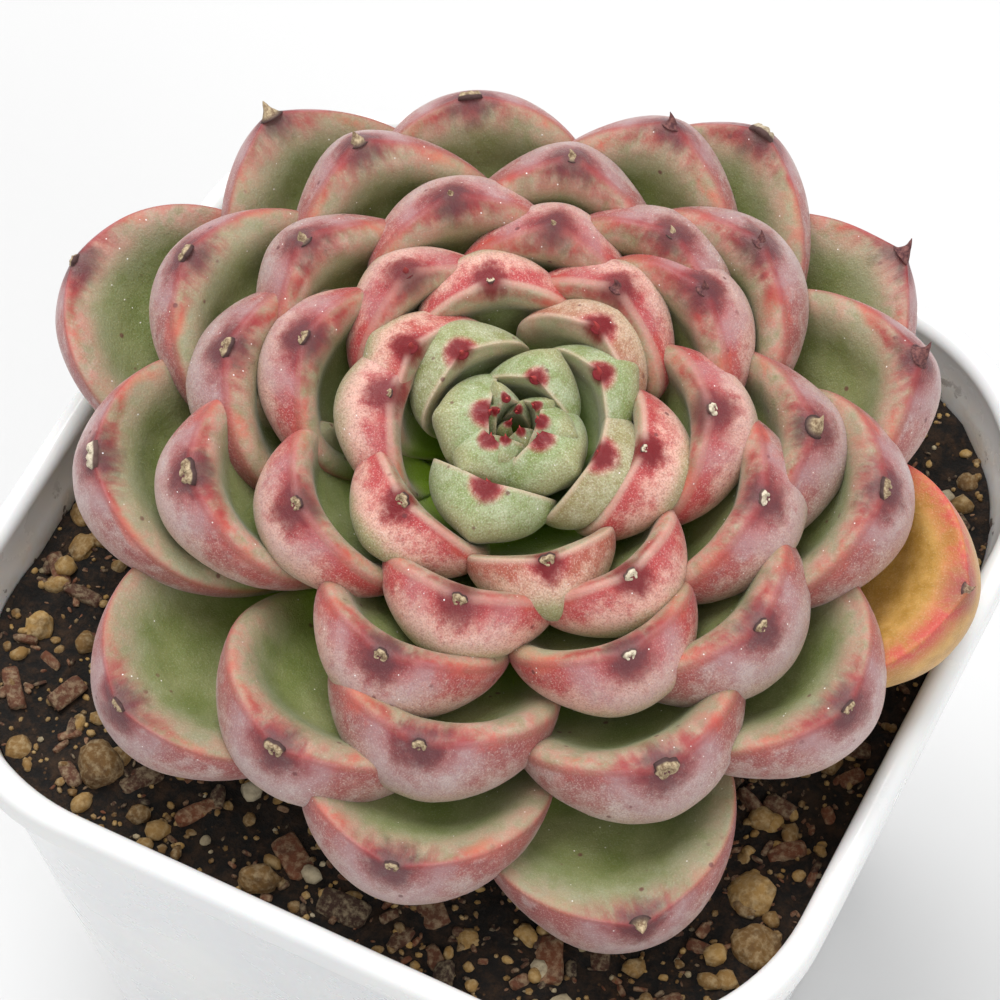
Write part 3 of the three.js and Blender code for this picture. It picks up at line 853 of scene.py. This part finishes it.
# ---------------------------------------------------------------- soil
def soil_material():
    sh = Shader("dark_peat")
    where = sh.tree.nodes.new("ShaderNodeTexCoord").outputs["Object"]
    crumbs = sh.noise(where, 700, 6, 0.7)
    clods = sh.noise(where, 180, 4, 0.6)
    flecks = sh.cells(where, 900)
    colour = sh.mix(sh.smooth(crumbs, 0.4, 0.72), srgb(12, 8, 5), srgb(62, 42, 24))
    colour = sh.mix(sh.times(sh.smooth(clods, 0.54, 0.7), 0.5), colour, srgb(72, 50, 30))
    colour = sh.mix(sh.times(sh.fade(flecks, 0.08, 0.16), 0.4), colour, srgb(128, 92, 56))
    normal = sh.bump(crumbs, 1.0, 0.0012)
    return sh.set(Base_Color=colour, Roughness=0.92, Normal=normal)


def grit_material():
    sh = Shader("clay_granules")
    where = sh.tree.nodes.new("ShaderNodeTexCoord").outputs["Object"]
    kind = sh.attribute("kind")
    tone = sh.attribute("tone")
    grain = sh.noise(where, 1500, 4, 0.65)
    stain = sh.noise(where, 420, 4, 0.6)
    ochre = sh.mix(tone, srgb(98, 68, 30), srgb(172, 136, 76))
    brown = sh.mix(tone, srgb(38, 22, 14), srgb(116, 66, 40))
    pale = sh.mix(tone, srgb(150, 136, 104), srgb(204, 192, 164))
    colour = sh.mix(sh.smooth(kind, 0.4, 0.6), ochre, brown)
    colour = sh.mix(sh.smooth(kind, 1.4, 1.6), colour, pale)
    colour = sh.mix(sh.times(sh.smooth(stain, 0.45, 0.7), 0.55), colour, srgb(58, 38, 24))
    colour = sh.mix(sh.times(sh.smooth(grain, 0.4, 0.7), 0.25), colour, srgb(230, 212, 170))
    normal = sh.bump(grain, 0.7, 0.0003)
    return sh.set(Base_Color=colour, Roughness=0.85, Normal=normal)


def unit_ball(levels):
    """Points and triangles of a subdivided icosahedron."""
    import bmesh
    ball = bmesh.new()
    bmesh.ops.create_icosphere(ball, subdivisions=levels, radius=1.0)
    points = np.array([v.co[:] for v in ball.verts])
    faces = np.array([[v.index for v in f.verts] for f in ball.faces])
    ball.free()
    return points, faces


def inside_pot(x, y, half):
    corner = half * CORNER_SHARE
    straight = half - corner
    dx = max(abs(x) - straight, 0)
    dy = max(abs(y) - straight, 0)
    return math.hypot(dx, dy) <= corner


def soil_height(x, y):
    """Height of the rough soil surface, in millimetres."""
    base = SOIL_TOP - 0.5
    clods = noise.noise(Vector((x, y, 3.0)) / 5.5) * 0.9
    crumbs = noise.noise(Vector((x, y, 9.0)) / 1.7) * 0.5
    return base + clods + crumbs


def build_soil():
    around, rings = 220, 70
    inner = wall_half(SOIL_TOP) - WALL
    outline = square_ring(inner - 0.15, around)
    points = []
    for share in np.linspace(1, 0.02, rings):
        for x, y in outline * share:
            points.append((x, y, soil_height(x, y)))
    wall = [(x, y, SOIL_TOP - 6) for x, y in outline * 0.985]
    low_half = wall_half(FLOOR_THICKNESS) - WALL - 0.4
    foot = [(x, y, FLOOR_THICKNESS + 0.35) for x, y in square_ring(low_half, around)]
    everything = [(0, 0, FLOOR_THICKNESS + 0.35), *foot, *wall, *points, (0, 0, soil_height(0, 0))]
    faces = loft_faces(rings + 2, around, 0, len(everything) - 1)
    piece = make_object("soil_bed", np.array(everything) * MM, faces, soil_material())
    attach(piece, "root")
    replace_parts(piece, "soil")


def crowded(x, y, radius, placed):
    """Whether a stone here would lie well into one already placed."""
    return any((x - a) ** 2 + (y - b) ** 2 < (0.8 * (radius + c)) ** 2 for a, b, c in placed)


# loose pieces on the soil: how many, least and greatest radius, and how finely each is made
GRIT_SIZES = [(120, 1.4, 2.7, 3), (380, 0.7, 1.4, 2), (800, 0.42, 0.7, 2), (2900, 0.22, 0.42, 1)]
GRIT_KINDS = {0.0: 0.48, 1.0: 0.49, 2.0: 0.03}
BARK = 1.0
SPACED_OVER = 0.7
PLACE_TRIES = 12


def build_grit():
    """Clay granules, bark chips and pale crumbs on the soil, as one mesh of loose stones."""
    balls = {level: unit_ball(level) for level in (1, 2, 3)}
    inner = wall_half(SOIL_TOP) - WALL
    points, faces, kinds, tones = [], [], [], []
    placed = []
    total = 0
    for count, low, high, level in GRIT_SIZES:
        ball, tris = balls[level]
        for _ in range(count):
            for _ in range(PLACE_TRIES):
                x, y = rng.uniform(-inner, inner, 2)
                radius = rng.uniform(low, high)
                if not inside_pot(x, y, inner - radius * 0.9):
                    continue
                from_stem = math.hypot(x - PLANT_ORIGIN[0] / MM, y - PLANT_ORIGIN[1] / MM)
                if from_stem < STEM_RADIUS + 1 + radius:
                    continue
                if low > SPACED_OVER and crowded(x, y, radius, placed):
                    continue
                break
            else:
                continue
            if low > SPACED_OVER:
                placed.append((x, y, radius))
            kind = rng.choice(list(GRIT_KINDS), p=list(GRIT_KINDS.values()))
            shape = np.array([1.0, rng.uniform(0.65, 1.0), rng.uniform(0.5, 0.85)])
            if kind == BARK:
                shape = np.array([1.25, rng.uniform(0.4, 0.8), rng.uniform(0.25, 0.5)])
            offset = rng.uniform(-50, 50, 3)
            rough = [noise.noise(Vector(p * 1.3 + offset)) for p in ball]
            sharp = [noise.noise(Vector(p * 3.4 + offset)) for p in ball]
            lump = ball * (1 + 0.3 * np.array(rough) + 0.12 * np.array(sharp))[:, None]
            if kind == BARK:
                lump = np.clip(lump, -0.78, 0.78)
            yaw, tilt = rng.uniform(0, 2 * math.pi), rng.normal(0, 0.35)
            turn = np.array(Matrix.Rotation(yaw, 3, "Z") @ Matrix.Rotation(tilt, 3, "X"))
            stone = (lump * shape * radius) @ turn.T
            height = soil_height(x, y) + radius * shape[2] * rng.uniform(-0.2, 0.5)
            points.append(stone + (x, y, height))
            faces.append(tris + total)
            total += len(ball)
            kinds += [kind] * len(ball)
            tones += [rng.uniform(0, 1)] * len(ball)
    piece = make_object("soil_grit", np.vstack(points) * MM, np.vstack(faces), grit_material(),
                        {"kind": np.array(kinds), "tone": np.array(tones)})
    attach(piece, "root")


build_soil()
build_grit()


# ---------------------------------------------------------------- camera, floor and light
VIEW_AZIMUTH = 26.67
VIEW_ELEVATION = 58.2
VIEW_DISTANCE = 0.4326
TARGET = Vector((-2.0, 5.27, POT_HEIGHT)) * MM

camera_data = bpy.data.cameras.new("camera")
camera = bpy.data.objects.new("camera", camera_data)
bpy.context.scene.collection.objects.link(camera)
camera_data.sensor_width = 36
camera_data.lens = 161.7
azimuth, elevation = math.radians(VIEW_AZIMUTH), math.radians(VIEW_ELEVATION)
backward = Vector((math.sin(azimuth) * math.cos(elevation), -math.cos(azimuth) * math.cos(elevation),
                   math.sin(elevation)))
camera.location = TARGET + backward * VIEW_DISTANCE
camera.rotation_euler = backward.to_track_quat("Z", "Y").to_euler()
bpy.context.scene.camera = camera


def add_floor():
    sh = Shader("pale_floor")
    where = sh.tree.nodes.new("ShaderNodeTexCoord").outputs["Object"]
    soft = sh.noise(where, 6, 2, 0.5)
    colour = sh.mix(sh.smooth(soft, 0.3, 0.7), srgb(216, 216, 216), srgb(213, 213, 213))
    sh.set(Base_Color=colour, Roughness=0.9)
    span = 6.0
    points = [(-span, -span, 0), (span, -span, 0), (span, span, 0), (-span, span, 0)]
    floor = make_object("floor", points, [(0, 1, 2, 3)], sh.material, smooth=False)


def add_light(name, place, size, power, target):
    data = bpy.data.lights.new(name, "AREA")
    data.shape = "DISK"
    data.size = size
    data.energy = power
    light = bpy.data.objects.new(name, data)
    bpy.context.scene.collection.objects.link(light)
    light.location = place
    light.rotation_euler = (Vector(place) - Vector(target)).to_track_quat("Z", "Y").to_euler()


add_floor()
add_light("overhead", (-0.25, 0.2, 0.95), 0.6, 7.0, (0, 0, 0.09))
add_light("side", (0.7, -0.35, 0.6), 0.6, 2.2, (0, 0, 0.09))
world = bpy.data.worlds.new("studio")
bpy.context.scene.world = world
world.use_nodes = True
world.node_tree.nodes["Background"].inputs["Color"].default_value = (1, 1, 1, 1)
world.node_tree.nodes["Background"].inputs["Strength"].default_value = 0.75
bpy.context.scene.view_settings.view_transform = "Standard"
